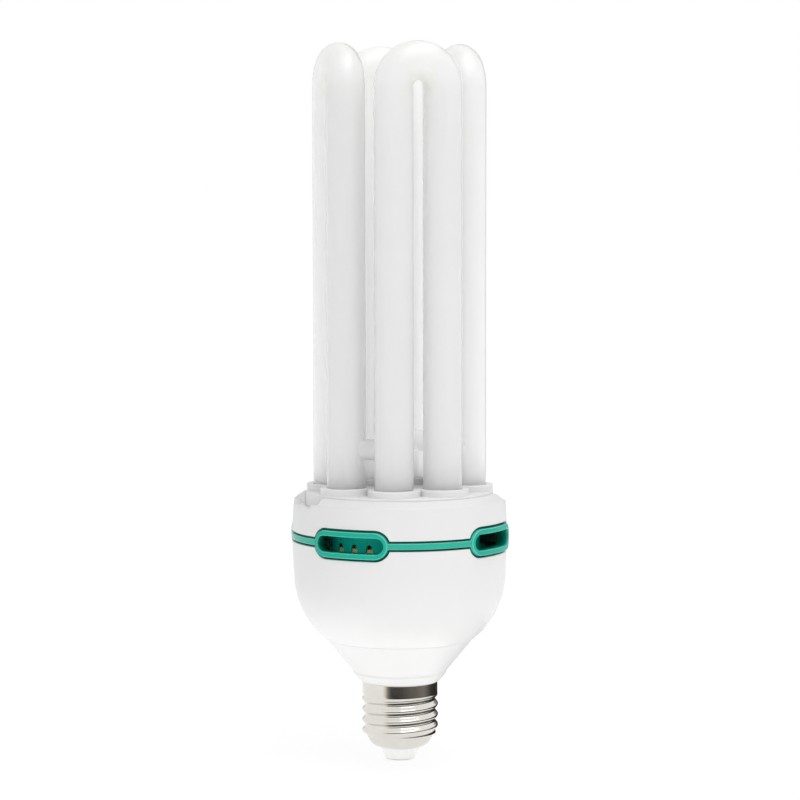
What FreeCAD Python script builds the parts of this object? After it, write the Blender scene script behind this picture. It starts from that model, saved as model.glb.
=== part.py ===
import FreeCAD, Part
import math
import os
from types import SimpleNamespace
import Sketcher

# Compact fluorescent lamp: four U-bent glass tubes on a ballast housing with an Edison screw cap.
# Millimetres. The lamp's axis is Z, cap down, with the origin at the tip of the centre contact.
# One U faces each of -Y, +X, +Y and -X. The vent windows lie on the diagonals between them.

# Driving dimensions: name, value and meaning. Heights are lengths of one piece, stacked from the tip.
SIZES = (
    ("fit", "0.1", "clearance between pieces that are pushed together"),
    ("cap_length", "27.4", "tip to the rim of the screw shell"),
    ("skirt_radius", "12.9", "plain skirt of the screw shell"),
    ("skirt_length", "4.0", "height of that skirt"),
    ("root_radius", "12.0", "screw shell between the thread's turns"),
    ("thread_height", "1.1", "crest above the root"),
    ("thread_pitch", "3.629", "rise of one turn"),
    ("thread_turns", "3", "turns of the thread"),
    ("thread_start", "190", "degrees from +X to the thread's lower end"),
    ("thread_foot", "2.9", "width of the thread at the root"),
    ("thread_crest", "1.1", "width of the thread at the crest"),
    ("shell_wall", "0.45", "sheet of the screw shell"),
    ("eye_radius", "6.95", "hole in the screw shell's end"),
    ("eye_height", "4.5", "tip to the screw shell's end"),
    ("dome_radius", "4.6", "rounding of the screw shell's end"),
    ("dome_width", "4.25", "that rounding, measured outwards from the hole"),
    ("dome_height", "3.9", "that rounding, measured upwards"),
    ("dome_step", "1.0", "slope from the rounding to the thread's root"),
    ("insulator_tip", "5.2", "radius of the insulator near the tip"),
    ("insulator_lip", "0.9", "height of the bevel at the insulator's tip"),
    ("insulator_land", "0.5", "ring of insulator beside the contact"),
    ("insulator_flange", "1.1", "ledge that keeps the insulator in the shell"),
    ("flange_gap", "0.35", "that ledge above the screw shell's end"),
    ("flange_thickness", "1.5", "thickness of that ledge"),
    ("contact_radius", "4.2", "centre contact"),
    ("contact_thickness", "0.55", "plate of the centre contact"),
    ("contact_proud", "0.25", "contact standing below the insulator"),
    ("stem_radius", "1.2", "eyelet of the centre contact"),
    ("stem_proud", "0.8", "eyelet above the insulator"),
    ("neck_height", "14.65", "cap rim to the seam"),
    ("neck_foot", "0.5", "ledge of the neck over the cap rim"),
    ("lip_radius", "15.95", "lip of the neck"),
    ("lip_low", "2.8", "cap rim to the lip's lower edge"),
    ("lip_height", "0.7", "lip's upright edge"),
    ("neck_wall", "1.6", "wall of the neck"),
    ("neck_inset", "0.15", "neck set back from the bowl at the seam"),
    ("neck_plug", "3.4", "neck inside the screw shell"),
    ("neck_spigot", "3.0", "neck inside the bowl"),
    ("seam_radius", "25.28", "bowl at the seam"),
    ("bowl_radius", "29.05", "rounding of the bowl"),
    ("bowl_height", "21.15", "seam to the end of that rounding"),
    ("flank_height", "13.15", "rounding to the green band"),
    ("flank_draft", "0.65", "housing's taper over that height"),
    ("wall", "1.8", "wall of the housing"),
    ("rib_count", "6", "ribs that carry the vent ring"),
    ("rib_width", "1.4", "thickness of a rib"),
    ("rib_hold", "4.0", "edge of the vent ring that a rib carries"),
    ("band_proud", "0.2", "green band standing out from the housing"),
    ("band_height", "3.2", "height of the green band"),
    ("frame_proud", "0.5", "window frame standing out from the band"),
    ("frame_width", "28.6", "window frame"),
    ("frame_height", "10.1", "window frame"),
    ("window_width", "25.0", "clear opening of a window"),
    ("window_height", "5.4", "clear opening of a window"),
    ("strip_width", "0.55", "recessed strip round the band and the frames"),
    ("strip_depth", "1.5", "that strip below the housing's outside"),
    ("strip_share", "0.31", "most of a frame's border that the strip takes"),
    ("edge_bevel", "0.43", "bevel of the edges of the band and the frames"),
    ("bevel_share", "0.35", "most of a narrow edge that one bevel takes"),
    ("ring_margin", "0.3", "vent ring above and below the frames"),
    ("ring_floor", "1.3", "floor and ceiling of the vent ring"),
    ("ring_gap", "0.5", "vent ring inside the housing wall"),
    ("ring_wall", "1.2", "outer wall of the vent ring"),
    ("vent_depth", "10.1", "housing's outside to the bore of the vent ring"),
    ("sleeve_wall", "0.6", "slotted inner wall of the vent ring"),
    ("slot_width", "2.0", "vent slot"),
    ("slot_height", "3.2", "vent slot"),
    ("slot_flare", "3.4", "vent slot at its foot"),
    ("flare_height", "1.0", "height of that flare"),
    ("slot_pitch", "5.8", "one vent slot to the next"),
    ("slots_per_window", "6", "vent slots behind one window"),
    ("crown_width", "4.82", "plate's edge to the housing's outside"),
    ("crown_height", "12.9", "green band to the top of the upper shell"),
    ("crown_draft", "0.5", "upper shell's taper"),
    ("bevel_height", "2.1", "bevel of the upper shell"),
    ("crown_land", "1.0", "flat top of the upper shell"),
    ("crown_ledge", "1.5", "ledge under the plate"),
    ("notch_width", "23.2", "notch in the upper shell, at its floor"),
    ("notch_depth", "4.1", "depth of the notch"),
    ("notch_slope", "2.1", "lean of the notch's sides"),
    ("notch_turn", "87.6", "degrees from -Y to the middle of the first notch"),
    ("plate_rise", "0.8", "plate above the upper shell"),
    ("plate_thickness", "2.0", "disc of the plate"),
    ("plate_margin", "0.14", "plate beyond the collars"),
    ("plate_bevel", "0.4", "bevel of the plate's edge"),
    ("collar_wall", "2.15", "collar round a tube leg"),
    ("collar_height", "2.2", "collar above the plate"),
    ("collar_bevel", "0.5", "bevel of a collar's top"),
    ("glass_gap", "0.15", "clearance round a tube leg"),
    ("leg_room", "0.4", "clearance of a leg from the upper shell"),
    ("tube_diameter", "13.2", "glass tube"),
    ("leg_spacing", "17.05", "between the two legs of a U"),
    ("u_offset", "21.4", "axis to the plane of a U"),
    ("burner_reach", "151.9", "plate to the top of the bends"),
    ("leg_depth", "8.7", "plate to the foot of a leg"),
    ("bridge_diameter", "7.2", "fused bridge between two legs"),
    ("bridge_inset", "1.0", "bridge inside the line between those legs"),
    ("bridge_height", "15.3", "plate to the middle of a bridge"),
    ("board_thickness", "1.6", "circuit board"),
    ("board_gap", "0.2", "board inside the vent ring's bore"),
    ("board_ledge", "2.0", "ledge of the vent ring that the board lies on"),
    ("bulk_radius", "8.0", "electrolytic capacitor"),
    ("bulk_length", "25.0", "electrolytic capacitor"),
    ("bulk_bead", "0.5", "depth of its rolled bead"),
    ("bulk_x_share", "0.115", "place on the board, as a share of its radius"),
    ("bulk_y_share", "0.538", "place on the board, as a share of its radius"),
    ("core_length", "19.0", "choke core"),
    ("core_width", "16.0", "choke core"),
    ("core_thickness", "5.0", "choke core"),
    ("core_leg", "4.8", "middle leg of the core"),
    ("core_flank", "2.25", "outer legs of the core"),
    ("core_yoke", "3.75", "ends of the core"),
    ("bobbin_wall", "0.8", "wall of the bobbin"),
    ("bobbin_rise", "4.0", "bobbin flange above and below the core"),
    ("winding_inset", "0.3", "winding inside the bobbin's flanges"),
    ("choke_x_share", "-0.454", "place on the board, as a share of its radius"),
    ("choke_y_share", "-0.077", "place on the board, as a share of its radius"),
    ("toroid_radius", "5.0", "drive toroid"),
    ("toroid_bore", "2.8", "drive toroid"),
    ("toroid_height", "4.5", "drive toroid"),
    ("toroid_x_share", "0.173", "place on the board, as a share of its radius"),
    ("toroid_y_share", "-0.327", "place on the board, as a share of its radius"),
    ("switch_width", "8.0", "power transistor"),
    ("switch_thickness", "3.0", "power transistor"),
    ("switch_height", "11.0", "power transistor"),
    ("switch_leg", "0.8", "lead of a power transistor"),
    ("switch_standoff", "3.0", "visible length of those leads"),
    ("switch_lead_pitch", "2.3", "one lead to the next"),
    ("switch_pitch", "10.0", "one transistor to the next"),
    ("switch_x_share", "0.654", "place on the board, as a share of its radius"),
    ("switch_y_share", "-0.115", "place on the board, as a share of its radius"),
    ("film_length", "13.0", "resonance capacitor"),
    ("film_width", "6.0", "resonance capacitor"),
    ("film_height", "11.0", "resonance capacitor"),
    ("film_x_share", "-0.077", "place on the board, as a share of its radius"),
    ("film_y_share", "-0.654", "place on the board, as a share of its radius"),
    ("block_length", "10.0", "coupling capacitor"),
    ("block_width", "5.0", "coupling capacitor"),
    ("block_height", "9.0", "coupling capacitor"),
    ("block_x_share", "0.404", "place on the board, as a share of its radius"),
    ("block_y_share", "-0.635", "place on the board, as a share of its radius"),
    ("diode_radius", "1.35", "rectifier diode"),
    ("diode_length", "5.0", "rectifier diode"),
    ("diode_pitch", "3.3", "one diode to the next"),
    ("diode_x_share", "-0.646", "place of the first diode, as a share of its radius"),
    ("diode_y_share", "0.442", "place on the board, as a share of its radius"),
    ("fuse_radius", "1.7", "fuse resistor"),
    ("fuse_length", "8.0", "fuse resistor"),
    ("fuse_x_share", "-0.508", "place on the board, as a share of its radius"),
    ("fuse_y_share", "-0.473", "place on the board, as a share of its radius"),
    ("lead_width", "0.7", "wire of a lying component"),
    ("lead_run", "1.4", "that wire beyond the component's end"),
    ("lying_gap", "0.4", "lying component under the board"),
    ("coil_radius", "4.0", "filter coil"),
    ("coil_waist", "3.4", "filter coil between its flanges"),
    ("coil_flange", "1.2", "flange of the filter coil"),
    ("coil_height", "10.0", "filter coil"),
    ("coil_x_share", "0.608", "place on the board, as a share of its radius"),
    ("coil_y_share", "0.423", "place on the board, as a share of its radius"),
    ("pin_width", "0.8", "wrap pin"),
    ("pin_height", "7.0", "wrap pin above the board"),
    ("pin_spread", "5.0", "between the two pins of one leg"),
    ("wire_radius", "0.3", "lead wire of the tube"),
    ("wrap_height", "2.4", "turns of that wire round a pin"),
    ("wrap_low", "2.5", "board to those turns"),
    ("cable_radius", "0.6", "lead wire of the cap"),
    ("cable_offset", "9.4", "axis to the lead of the screw shell"),
    ("cable_foot", "7.6", "tip to the end of that lead"),
)

doc = FreeCAD.newDocument("lamp")
dims = doc.addObject("Spreadsheet::Sheet", "dims")
for row, (alias, value, meaning) in enumerate(SIZES, start=1):
    dims.set(f"A{row}", meaning)
    dims.set(f"B{row}", value)
    dims.setAlias(f"B{row}", alias)
doc.recompute()


class Size:
    """A length that carries both its number and the sheet expression that gives it."""

    def __init__(self, number, text):
        self.number = number
        self.text = text

    def __add__(self, other):
        other = as_size(other)
        return Size(self.number + other.number, f"({self.text} + {other.text})")

    def __sub__(self, other):
        other = as_size(other)
        return Size(self.number - other.number, f"({self.text} - {other.text})")

    def __mul__(self, other):
        other = as_size(other)
        return Size(self.number * other.number, f"({self.text} * {other.text})")

    def __truediv__(self, other):
        other = as_size(other)
        return Size(self.number / other.number, f"({self.text} / {other.text})")

    def __neg__(self):
        return Size(-self.number, f"(0 - {self.text})")


def as_size(value):
    """A plain number as a Size, and a Size as it is."""
    return value if isinstance(value, Size) else Size(float(value), str(value))


def root(size):
    """The square root of a Size."""
    return Size(math.sqrt(size.number), f"sqrt({size.text})")


def least(*sizes):
    """The smallest of some Sizes."""
    texts = "; ".join(size.text for size in sizes)
    return Size(min(size.number for size in sizes), f"min({texts})")


def bind(thing, target, size):
    """Drive one property of an object by the sheet."""
    thing.setExpression(target, as_size(size).text)


size = SimpleNamespace(**{alias: Size(float(dims.get(alias)), f"dims.{alias}") for alias, _, _ in SIZES})
zero = as_size(0)

# Heights that several pieces share, from the tip upwards
flange_low = size.eye_height + size.shell_wall + size.flange_gap
flange_high = flange_low + size.flange_thickness
contact_top = flange_high + size.stem_proud
cap_rim = size.cap_length
seam = cap_rim + size.neck_height
bowl_end = seam + size.bowl_height
band_low = bowl_end + size.flank_height
band_middle = band_low + size.band_height / 2
band_high = band_low + size.band_height
ring_low = band_middle - size.frame_height / 2 - size.ring_margin
ring_high = band_middle + size.frame_height / 2 + size.ring_margin
crown_top = band_high + size.crown_height
plate_top = crown_top + size.plate_rise
plate_seat = ring_high + size.crown_ledge
leg_foot = plate_top - size.leg_depth
board_low = ring_low + size.ring_floor
board_high = board_low + size.board_thickness

# Radii that several pieces share
tube_radius = size.tube_diameter / 2
leg_offset = size.leg_spacing / 2
leg_circle = root(size.u_offset * size.u_offset + leg_offset * leg_offset)
collar_radius = tube_radius + size.glass_gap + size.collar_wall
plate_radius = leg_circle + collar_radius + size.plate_margin
crown_bore = leg_circle + tube_radius + size.leg_room
rim_radius = plate_radius + size.crown_width
bowl_top = rim_radius - size.flank_draft
band_radius = rim_radius + size.band_proud
frame_radius = band_radius + size.frame_proud
ring_radius = rim_radius - size.wall - size.ring_gap
sleeve_radius = rim_radius - size.vent_depth
board_radius = sleeve_radius - size.board_gap
diagonal_turn = 45


# Building blocks: bodies, sketches and features bound to the sheet
def new_body(label, x=zero, y=zero, z=zero, turn=0):
    """An empty body at a place, turned about the vertical."""
    body = doc.addObject("PartDesign::Body", label)
    body.Label = label
    body.AllowCompound = True
    body.Placement.Rotation = FreeCAD.Rotation(FreeCAD.Vector(0, 0, 1), turn)
    for axis, place in (("x", x), ("y", y), ("z", z)):
        bind(body, f"Placement.Base.{axis}", place)
    return body


def origin_feature(body, role):
    """One of a body's own planes or axes."""
    return next(feature for feature in body.Origin.OriginFeatures if feature.Role == role)


def new_sketch(body, name, role="XZ_Plane", lift=None, turn=0, aside=None):
    """A sketch on one of the body's planes, lifted off it, set aside or turned about its upright."""
    sketch = body.newObject("Sketcher::SketchObject", f"{body.Label}_{name}")
    sketch.AttachmentSupport = (origin_feature(body, role), [""])
    sketch.MapMode = "FlatFace"
    upright = FreeCAD.Rotation(FreeCAD.Vector(0, 1, 0), turn)
    sketch.AttachmentOffset = FreeCAD.Placement(FreeCAD.Vector(), upright)
    if lift is not None:
        bind(sketch, "AttachmentOffset.Base.z", lift)
    if aside is not None:
        bind(sketch, "AttachmentOffset.Base.x", aside)
    return sketch


def pin_down(sketch, edge, end, x, y):
    """Hold one point of a sketch at a place given by the sheet."""
    for kind, axis, place in (("DistanceX", -2, x), ("DistanceY", -1, y)):
        if place.number == 0:
            sketch.addConstraint(Sketcher.Constraint("PointOnObject", edge, end, axis))
            continue
        ends = (-1, 1, edge, end) if place.number > 0 else (edge, end, -1, 1)
        place = place if place.number > 0 else -place
        index = sketch.addConstraint(Sketcher.Constraint(kind, *ends, place.number))
        bind(sketch, f"Constraints[{index}]", place)


def arc_between(start, end, radius, turn):
    """The arc of a radius from one point to another, turning left (1) or right (-1)."""
    chord = end - start
    rise = math.sqrt(max(radius * radius - chord.Length * chord.Length / 4, 0))
    across = FreeCAD.Vector(-chord.y, chord.x, 0).normalize()
    centre = (start + end) * 0.5 + across * rise * turn
    first, last = (start, end) if turn > 0 else (end, start)
    angles = [math.atan2(point.y - centre.y, point.x - centre.x) for point in (first, last)]
    if angles[1] < angles[0]:
        angles[1] += 2 * math.pi
    return Part.ArcOfCircle(Part.Circle(centre, FreeCAD.Vector(0, 0, 1), radius), *angles)


def draw(sketch, outline, closed=True):
    """Draw points (x, y), each joined to the next by a line, or by an arc if (x, y, radius, turn) is given.

    A half circle gives the word half as its radius.
    """
    points = [FreeCAD.Vector(as_size(point[0]).number, as_size(point[1]).number, 0) for point in outline]
    count = len(outline) if closed else len(outline) - 1
    base = sketch.GeometryCount
    ends = []
    for index in range(count):
        start = points[index]
        end = points[(index + 1) % len(points)]
        if len(outline[index]) == 2:
            sketch.addGeometry(Part.LineSegment(start, end))
            ends.append((1, 2))
            continue
        radius, turn = outline[index][2:]
        half = radius == "half"
        length = (end - start).Length / 2 if half else radius.number
        sketch.addGeometry(arc_between(start, end, length, turn))
        ends.append((1, 2) if turn > 0 else (2, 1))
    for index in range(count):
        edge = base + index
        x, y = (as_size(value) for value in outline[index][:2])
        pin_down(sketch, edge, ends[index][0], x, y)
        if index + 1 < count or closed:
            follower = (index + 1) % count
            joint = (edge, ends[index][1], base + follower, ends[follower][0])
            sketch.addConstraint(Sketcher.Constraint("Coincident", *joint))
        else:
            x_end, y_end = (as_size(value) for value in outline[index + 1][:2])
            pin_down(sketch, edge, ends[index][1], x_end, y_end)
        if len(outline[index]) == 4:
            hold_arc(sketch, edge, outline[index], outline[(index + 1) % len(outline)])


def hold_arc(sketch, edge, start, end):
    """Give an arc its radius, or put a half circle's centre level with its ends."""
    if start[2] != "half":
        index = sketch.addConstraint(Sketcher.Constraint("Radius", edge, start[2].number))
        bind(sketch, f"Constraints[{index}]", start[2])
        return
    upright = as_size(start[0]).number == as_size(end[0]).number
    kind, position = ("DistanceX", as_size(start[0])) if upright else ("DistanceY", as_size(start[1]))
    ends = (-1, 1, edge, 3) if position.number > 0 else (edge, 3, -1, 1)
    position = position if position.number > 0 else -position
    index = sketch.addConstraint(Sketcher.Constraint(kind, *ends, position.number))
    bind(sketch, f"Constraints[{index}]", position)


def draw_circles(sketch, centres, radius):
    """Draw circles of one radius at several places."""
    for x, y in centres:
        centre = FreeCAD.Vector(as_size(x).number, as_size(y).number, 0)
        edge = sketch.addGeometry(Part.Circle(centre, FreeCAD.Vector(0, 0, 1), radius.number))
        pin_down(sketch, edge, 3, as_size(x), as_size(y))
        index = sketch.addConstraint(Sketcher.Constraint("Radius", edge, radius.number))
        bind(sketch, f"Constraints[{index}]", radius)


def stadium(width, height, middle):
    """Outline of a round-ended window of a width and height, centred on the sketch's upright axis."""
    flat = width / 2 - height / 2
    low = middle - height / 2
    high = middle + height / 2
    return [(-flat, low), (flat, low, "half", 1), (flat, high), (-flat, high, "half", 1)]


def rectangle(x_low, y_low, x_high, y_high):
    """Outline of a rectangle between two corners."""
    return [(x_low, y_low), (x_high, y_low), (x_high, y_high), (x_low, y_high)]


def turned(body, name, outline, kind="Revolution", **place):
    """Turn an outline about its sketch's upright axis, to add material or, as a Groove, to cut it."""
    sketch = new_sketch(body, f"{name}_outline", **place)
    draw(sketch, outline)
    feature = body.newObject(f"PartDesign::{kind}", f"{body.Label}_{name}")
    feature.Profile = sketch
    feature.ReferenceAxis = (sketch, ["V_Axis"])
    feature.Angle = 360
    doc.recompute()
    return feature


def pushed(body, name, sketch, length, kind="Pad", symmetric=False):
    """Pad a sketch along its normal, or cut a Pocket along the same way."""
    feature = body.newObject(f"PartDesign::{kind}", f"{body.Label}_{name}")
    feature.Profile = sketch
    feature.Reversed = kind == "Pocket"
    feature.SideType = "Symmetric" if symmetric else "One side"
    bind(feature, "Length", length)
    doc.recompute()
    return feature


def repeated(body, name, feature, count, angle=360):
    """Repeat a feature round the lamp's axis."""
    pattern = body.newObject("PartDesign::PolarPattern", f"{body.Label}_{name}")
    pattern.Originals = [feature]
    pattern.Axis = (origin_feature(body, "Z_Axis"), [""])
    pattern.Angle = angle
    pattern.Occurrences = count
    body.Tip = pattern
    doc.recompute()
    return pattern


def bevelled(body, name, wanted, width):
    """Bevel the edges of a body that a test picks out."""
    tip = body.Tip
    edges = [f"Edge{index}" for index, edge in enumerate(tip.Shape.Edges, start=1) if wanted(edge)]
    feature = body.newObject("PartDesign::Chamfer", f"{body.Label}_{name}")
    feature.Base = (tip, edges)
    bind(feature, "Size", width)
    doc.recompute()
    return feature


# Centre contact: a round plate with an eyelet that the lead is soldered in
def make_centre_contact():
    body = new_body("centre_contact")
    turned(body, "plate", [
        (zero, zero),
        (size.contact_radius, zero),
        (size.contact_radius, size.contact_thickness),
        (size.stem_radius, size.contact_thickness),
        (size.stem_radius, contact_top),
        (zero, contact_top),
    ])
    return body


# Insulator: a moulded cone that comes through the end of the screw shell
def make_cap_insulator():
    body = new_body("cap_insulator")
    neck = size.eye_radius - size.fit
    turned(body, "cone", [
        (size.stem_radius, size.contact_thickness),
        (size.contact_radius + size.fit, size.contact_thickness),
        (size.contact_radius + size.fit, size.contact_proud),
        (size.contact_radius + size.fit + size.insulator_land, size.contact_proud),
        (size.insulator_tip, size.insulator_lip),
        (neck, size.eye_height),
        (neck, flange_low),
        (neck + size.insulator_flange, flange_low),
        (neck + size.insulator_flange, flange_high),
        (size.stem_radius, flange_high),
    ])
    return body


# Screw shell: thin rolled sheet with a plain skirt, a rounded end and a right-hand thread
def make_screw_shell():
    body = new_body("screw_shell", turn=size.thread_start.number)
    wall = size.shell_wall
    dome_edge = size.eye_radius + size.dome_width
    dome_top = size.eye_height + size.dome_height
    root_low = dome_top + size.dome_step
    skirt_low = cap_rim - size.skirt_length
    root_high = skirt_low - (size.skirt_radius - size.root_radius)
    turned(body, "sheet", [
        (size.eye_radius, size.eye_height, size.dome_radius, 1),
        (dome_edge, dome_top),
        (size.root_radius, root_low),
        (size.root_radius, root_high),
        (size.skirt_radius, skirt_low),
        (size.skirt_radius, cap_rim),
        (size.skirt_radius - wall, cap_rim),
        (size.skirt_radius - wall, skirt_low),
        (size.root_radius - wall, root_high),
        (size.root_radius - wall, root_low),
        (dome_edge - wall, dome_top, size.dome_radius - wall, -1),
        (size.eye_radius, size.eye_height + wall),
    ])
    thread_low = root_low + (root_high - root_low - size.thread_pitch * size.thread_turns) / 2
    buried = size.root_radius - wall / 2
    crest = size.root_radius + size.thread_height
    profile = new_sketch(body, "thread")
    draw(profile, [
        (buried, thread_low - size.thread_foot / 2),
        (crest, thread_low - size.thread_crest / 2),
        (crest, thread_low + size.thread_crest / 2),
        (buried, thread_low + size.thread_foot / 2),
    ])
    thread = body.newObject("PartDesign::AdditiveHelix", "screw_shell_thread")
    thread.Profile = profile
    thread.ReferenceAxis = (profile, ["V_Axis"])
    thread.Mode = "pitch-turns-angle"
    bind(thread, "Pitch", size.thread_pitch)
    bind(thread, "Turns", size.thread_turns)
    doc.recompute()
    return body


# Neck: a moulded cone with a lip, plugged into the screw shell and into the bowl
def make_cap_neck():
    body = new_body("cap_neck")
    plug = size.skirt_radius - size.shell_wall - size.fit
    lip_low = cap_rim + size.lip_low
    lip_high = lip_low + size.lip_height
    wall = size.neck_wall
    spigot = size.seam_radius - size.wall - size.fit
    turned(body, "cone", [
        (plug - wall, cap_rim - size.neck_plug),
        (plug, cap_rim - size.neck_plug),
        (plug, cap_rim),
        (size.skirt_radius + size.neck_foot, cap_rim),
        (size.lip_radius, lip_low),
        (size.lip_radius, lip_high),
        (size.seam_radius - size.neck_inset, seam),
        (spigot, seam),
        (spigot, seam + size.neck_spigot),
        (spigot - wall, seam + size.neck_spigot),
        (spigot - wall, seam - wall / 2),
        (plug - wall, lip_low),
    ])
    return body


# Lower shell: the moulded bowl, cut out round the window frames, with ribs inside that carry the vent ring
def make_lower_shell():
    body = new_body("lower_shell", turn=diagonal_turn)
    wall = size.wall
    turned(body, "bowl", [
        (size.seam_radius, seam, size.bowl_radius, 1),
        (bowl_top, bowl_end),
        (rim_radius, band_low),
        (rim_radius - wall, band_low),
        (bowl_top - wall, bowl_end, size.bowl_radius - wall, -1),
        (size.seam_radius - wall, seam),
    ])
    rib = new_sketch(body, "rib", turn=diagonal_turn)
    wall_middle = bowl_top - wall / 2
    draw(rib, [
        (ring_radius - size.rib_hold, ring_low),
        (wall_middle, bowl_end),
        (wall_middle, ring_low),
    ])
    ribs = pushed(body, "rib", rib, size.rib_width, symmetric=True)
    repeated(body, "ribs", ribs, int(size.rib_count.number))
    cut_frames(body, 0)
    return body


def cut_frames(body, turn):
    """Cut a shell out round the four window frames, the first of them at a turn from -Y."""
    around = size.fit * 2
    outline = new_sketch(body, "frame_cut", turn=turn)
    draw(outline, stadium(size.frame_width + around, size.frame_height + around, band_middle))
    cut = pushed(body, "frame_cut", outline, frame_radius * 2, kind="Pocket")
    repeated(body, "frame_cuts", cut, 4)


# Vent ring: a moulded ring with a raised band and four framed windows, all edged by a recessed strip.
# Behind the windows lie a channel and a slotted wall, and a ledge for the board, whose edge shows there.
def make_vent_ring():
    body = new_body("vent_ring", turn=diagonal_turn)
    sleeve = sleeve_radius + size.sleeve_wall
    chamber = ring_radius - size.ring_wall
    strip_radius = rim_radius - size.strip_depth
    floor = ring_low + size.ring_floor
    ceiling = ring_high - size.ring_floor
    ledge = sleeve_radius - size.board_ledge
    turned(body, "ring", [
        (ledge, ring_low),
        (ring_radius, ring_low),
        (ring_radius, band_low),
        (strip_radius, band_low),
        (strip_radius, band_high),
        (ring_radius, band_high),
        (ring_radius, ring_high),
        (sleeve_radius, ring_high),
        (sleeve_radius, floor),
        (ledge, floor),
    ])
    frame_pads(body, "strip", size.frame_width, size.frame_height, strip_radius)
    side_border = (size.frame_width - size.window_width) / 2
    border = least(side_border, (size.frame_height - size.window_height) / 2)
    strip = least(size.strip_width, border * size.strip_share)
    bead_low = band_low + strip
    bead_high = band_high - strip
    narrowest = least(border - strip, bead_high - bead_low)
    bevel = least(size.edge_bevel, narrowest * size.bevel_share)
    turned(body, "band", [
        (ring_radius, bead_low),
        (band_radius - bevel, bead_low),
        (band_radius, bead_low + bevel),
        (band_radius, bead_high - bevel),
        (band_radius - bevel, bead_high),
        (ring_radius, bead_high),
    ])
    frame_pads(body, "frame", size.frame_width - strip * 2, size.frame_height - strip * 2, frame_radius)
    turned(body, "channel", rectangle(sleeve, floor, chamber, ceiling), kind="Groove")
    window = new_sketch(body, "window", lift=(sleeve + chamber) / 2)
    draw(window, stadium(size.window_width, size.window_height, band_middle))
    windows = pushed(body, "window", window, frame_radius, kind="Pocket")
    repeated(body, "windows", windows, 4)
    bevelled(body, "frame_bevel", on_frame_face, bevel)
    slot = new_sketch(body, "slot", lift=sleeve_radius / 2)
    count = int(size.slots_per_window.number)
    for index in range(count):
        middle = size.slot_pitch * (index - (count - 1) / 2)
        draw(slot, vent_slot(middle, floor))
    slots = pushed(body, "slot", slot, sleeve - sleeve_radius / 2 + size.sleeve_wall, kind="Pocket")
    repeated(body, "slots", slots, 4)
    return body


def frame_pads(body, name, width, height, radius):
    """Four round-ended pads of the vent ring, turned off at a radius."""
    pad = new_sketch(body, name, lift=ring_radius - size.ring_wall)
    draw(pad, stadium(width, height, band_middle))
    pads = pushed(body, name, pad, radius)
    repeated(body, f"{name}s", pads, 4)
    beyond = rectangle(
        radius,
        ring_low - size.ring_floor,
        radius * 3,
        ring_high + size.ring_floor,
    )
    turned(body, f"{name}_face", beyond, kind="Groove")


def on_frame_face(edge):
    """True for an edge that runs round the front of a window frame."""
    upright = edge.BoundBox.XLength + edge.BoundBox.YLength < size.fit.number
    places = (edge.valueAt(edge.FirstParameter + (edge.LastParameter - edge.FirstParameter) * share)
              for share in (0, 0.25, 0.5, 0.75, 1))
    off = max(abs(math.hypot(place.x, place.y) - frame_radius.number) for place in places)
    return not upright and off < size.fit.number / 10


def vent_slot(middle, floor):
    """Outline of one vent slot, flared at its foot and arched at its top."""
    half = size.slot_width / 2
    flare = size.slot_flare / 2
    shoulder = floor + size.slot_height - half
    knee = floor + size.flare_height
    return [
        (middle - flare, floor),
        (middle + flare, floor),
        (middle + half, knee),
        (middle + half, shoulder, "half", 1),
        (middle - half, shoulder),
        (middle - half, knee),
    ]


# Upper shell: the moulded ring over the vents, with a bevelled top, a ledge for the plate and two notches
def make_upper_shell():
    body = new_body("upper_shell")
    shoulder = rim_radius - size.crown_draft
    socket = plate_radius + size.fit
    turned(body, "crown", [
        (rim_radius, band_high),
        (shoulder, crown_top - size.bevel_height),
        (socket + size.crown_land, crown_top),
        (socket, crown_top),
        (socket, plate_seat),
        (crown_bore, plate_seat),
        (crown_bore, ring_high),
        (rim_radius - size.wall, ring_high),
        (rim_radius - size.wall, band_high),
    ])
    cut_frames(body, diagonal_turn)
    notch_low = crown_top - size.notch_depth
    half = size.notch_width / 2
    lean = size.notch_slope
    outline = new_sketch(body, "notch", turn=size.notch_turn.number)
    draw(outline, [
        (-half, notch_low),
        (half, notch_low),
        (half + lean * 2, crown_top + size.notch_depth),
        (-half - lean * 2, crown_top + size.notch_depth),
    ])
    notch = pushed(body, "notch", outline, rim_radius * 2, kind="Pocket")
    repeated(body, "notches", notch, 2)
    return body


# Burner plate: a moulded cup whose disc has a collar for each tube leg
def make_burner_plate():
    body = new_body("burner_plate")
    disc_low = plate_top - size.plate_thickness
    turned(body, "disc", [
        (zero, disc_low),
        (crown_bore + size.fit, disc_low),
        (crown_bore + size.fit, plate_seat),
        (plate_radius, plate_seat),
        (plate_radius, plate_top - size.plate_bevel),
        (plate_radius - size.plate_bevel, plate_top),
        (zero, plate_top),
    ])
    collar_top = plate_top + size.collar_height
    for side, aside in (("right", leg_offset), ("left", -leg_offset)):
        collar = turned(body, f"{side}_collar", [
            (zero, disc_low),
            (collar_radius, disc_low),
            (collar_radius, collar_top - size.collar_bevel),
            (collar_radius - size.collar_bevel, collar_top),
            (zero, collar_top),
        ], lift=size.u_offset, aside=aside)
        repeated(body, f"{side}_collars", collar, 4)
    bore = new_sketch(body, "bore", role="XY_Plane", lift=plate_seat)
    legs = [(leg_offset, -size.u_offset), (-leg_offset, -size.u_offset)]
    draw_circles(bore, legs, tube_radius + size.glass_gap)
    bores = pushed(body, "bores", bore, size.leg_depth + size.collar_height * 2, kind="Pocket")
    repeated(body, "all_bores", bores, 4)
    return body


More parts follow.
